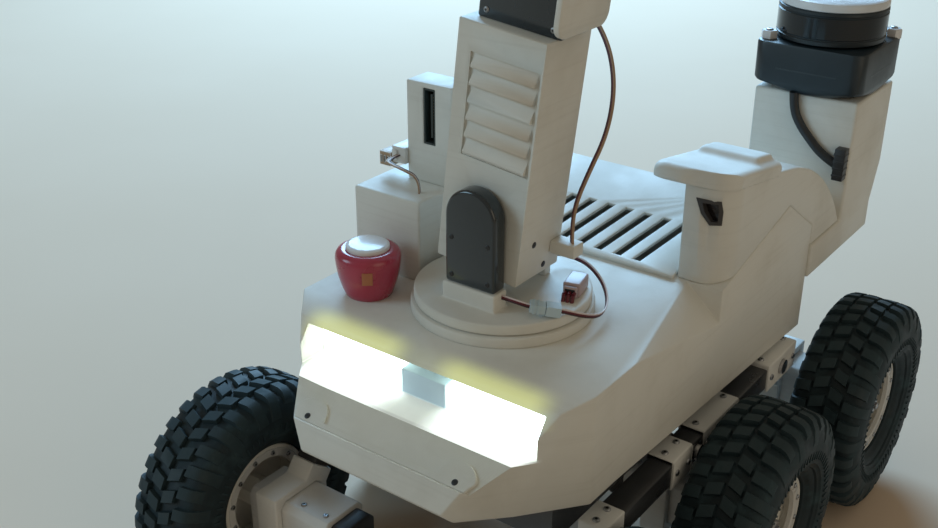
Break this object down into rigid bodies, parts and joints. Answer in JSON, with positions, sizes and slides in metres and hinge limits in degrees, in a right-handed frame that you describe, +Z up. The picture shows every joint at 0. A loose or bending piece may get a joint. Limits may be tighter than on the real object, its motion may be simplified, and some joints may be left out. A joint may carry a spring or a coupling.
{
  "type": "six-wheeled rover",
  "caption": "Small six-wheeled rover model with a printed hull, rocker and bogie beams, knobbly tyres, head lamps, a tilting camera mast and a rotating scanner on a tower.",
  "frame": {"origin": "on the floor under the middle of the rover's overall box", "axes": "+Z up, the nose points along -Y, +X is the side with the scanner tower"},
  "size_m": [0.258, 0.3991, 0.3882],
  "materials": {
    "shell": "printed, matte off-white",
    "beams": "printed, matte off-white",
    "rims": "moulded, satin off-white",
    "tyres": "black rubber with knobs",
    "housing": "printed, matte off-white",
    "tube_black": "square tube, black",
    "cable_black": "black sheath",
    "lead_pale": "thin wires side by side",
    "plug_pale": "moulded, pale",
    "cap_silver": "satin cap",
    "pin_steel": "turned pin",
    "black_plastic": "moulded, black",
    "servo_black": "moulded, glossy black",
    "red_plastic": "moulded, glossy red",
    "cap_white": "moulded, glossy white",
    "lamp": "frosted lens, lit",
    "lens_black": "dark lens",
    "tub_grey": "printed, dark grey"
  },
  "bodies": {
    "chassis": {"hull": "shell", "vent_lid": "shell", "head_lamps": "lamp", "cheek_pod": "shell", "cheek_lens": "lens_black", "visor": "shell", "tower": "shell", "scanner_base": "black_plastic", "scanner_cable": "cable_black", "cable_plug": "black_plastic", "side_case": "shell", "side_port": "shell", "case_plug": "plug_pale", "case_lead": "lead_pale", "stop_button": "red_plastic", "button_cap": "cap_white", "chassis_tub": "tub_grey", "rocker_left": "beams", "rocker_right": "beams", "bogie_left": "beams", "bogie_right": "beams", "pivot_pins": "pin_steel", "suspension_tubes": "tube_black", "drive_motors": "housing", "motor_caps": "black_plastic", "turntable_ring": "shell"},
    "turntable": {"turntable_disc": "shell", "foot_servo": "servo_black", "rear_ear": "shell", "foot_lead": "lead_pale"},
    "column": {"mast_column": "shell", "lead_clip": "shell", "mast_lead": "lead_pale", "head_servo": "servo_black"},
    "head": {"head_yoke": "shell", "camera_head": "shell", "head_lenses": "lens_black"},
    "scanner_rotor": {"scanner_head": "black_plastic", "scanner_cap": "cap_silver"},
    "wheel_front_left": {"tyre_front_left": "tyres", "rim_front_left": "rims"},
    "wheel_middle_left": {"tyre_middle_left": "tyres", "rim_middle_left": "rims"},
    "wheel_rear_left": {"tyre_rear_left": "tyres", "rim_rear_left": "rims"},
    "wheel_front_right": {"tyre_front_right": "tyres", "rim_front_right": "rims"},
    "wheel_middle_right": {"tyre_middle_right": "tyres", "rim_middle_right": "rims"},
    "wheel_rear_right": {"tyre_rear_right": "tyres", "rim_rear_right": "rims"}
  },
  "joints": [
    {"name": "spin_front_left", "type": "hinge", "parent": "chassis", "child": "wheel_front_left", "pos_m": [-0.108, -0.14, 0.06], "axis": [1, 0, 0], "continuous": true},
    {"name": "spin_middle_left", "type": "hinge", "parent": "chassis", "child": "wheel_middle_left", "pos_m": [-0.108, -0.012, 0.06], "axis": [1, 0, 0], "continuous": true},
    {"name": "spin_rear_left", "type": "hinge", "parent": "chassis", "child": "wheel_rear_left", "pos_m": [-0.108, 0.126, 0.06], "axis": [1, 0, 0], "continuous": true},
    {"name": "spin_front_right", "type": "hinge", "parent": "chassis", "child": "wheel_front_right", "pos_m": [0.108, -0.14, 0.06], "axis": [1, 0, 0], "continuous": true},
    {"name": "spin_middle_right", "type": "hinge", "parent": "chassis", "child": "wheel_middle_right", "pos_m": [0.108, -0.012, 0.06], "axis": [1, 0, 0], "continuous": true},
    {"name": "spin_rear_right", "type": "hinge", "parent": "chassis", "child": "wheel_rear_right", "pos_m": [0.108, 0.126, 0.06], "axis": [1, 0, 0], "continuous": true},
    {"name": "mast_pan", "type": "hinge", "parent": "chassis", "child": "turntable", "pos_m": [0.004, -0.079, 0.182], "axis": [0, 0, 1], "range_deg": [-60, 60]},
    {"name": "mast_tilt", "type": "hinge", "parent": "turntable", "child": "column", "pos_m": [0.004, -0.079, 0.224], "axis": [0, 1, 0], "range_deg": [-15, 30]},
    {"name": "head_tilt", "type": "hinge", "parent": "column", "child": "head", "pos_m": [0.01617, -0.079, 0.33081], "axis": [0.9936, 0, -0.1132], "range_deg": [-30, 45]},
    {"name": "scanner_spin", "type": "hinge", "parent": "chassis", "child": "scanner_rotor", "pos_m": [0.0505, 0.168, 0.253], "axis": [0, 0, 1], "continuous": true}
  ]
}
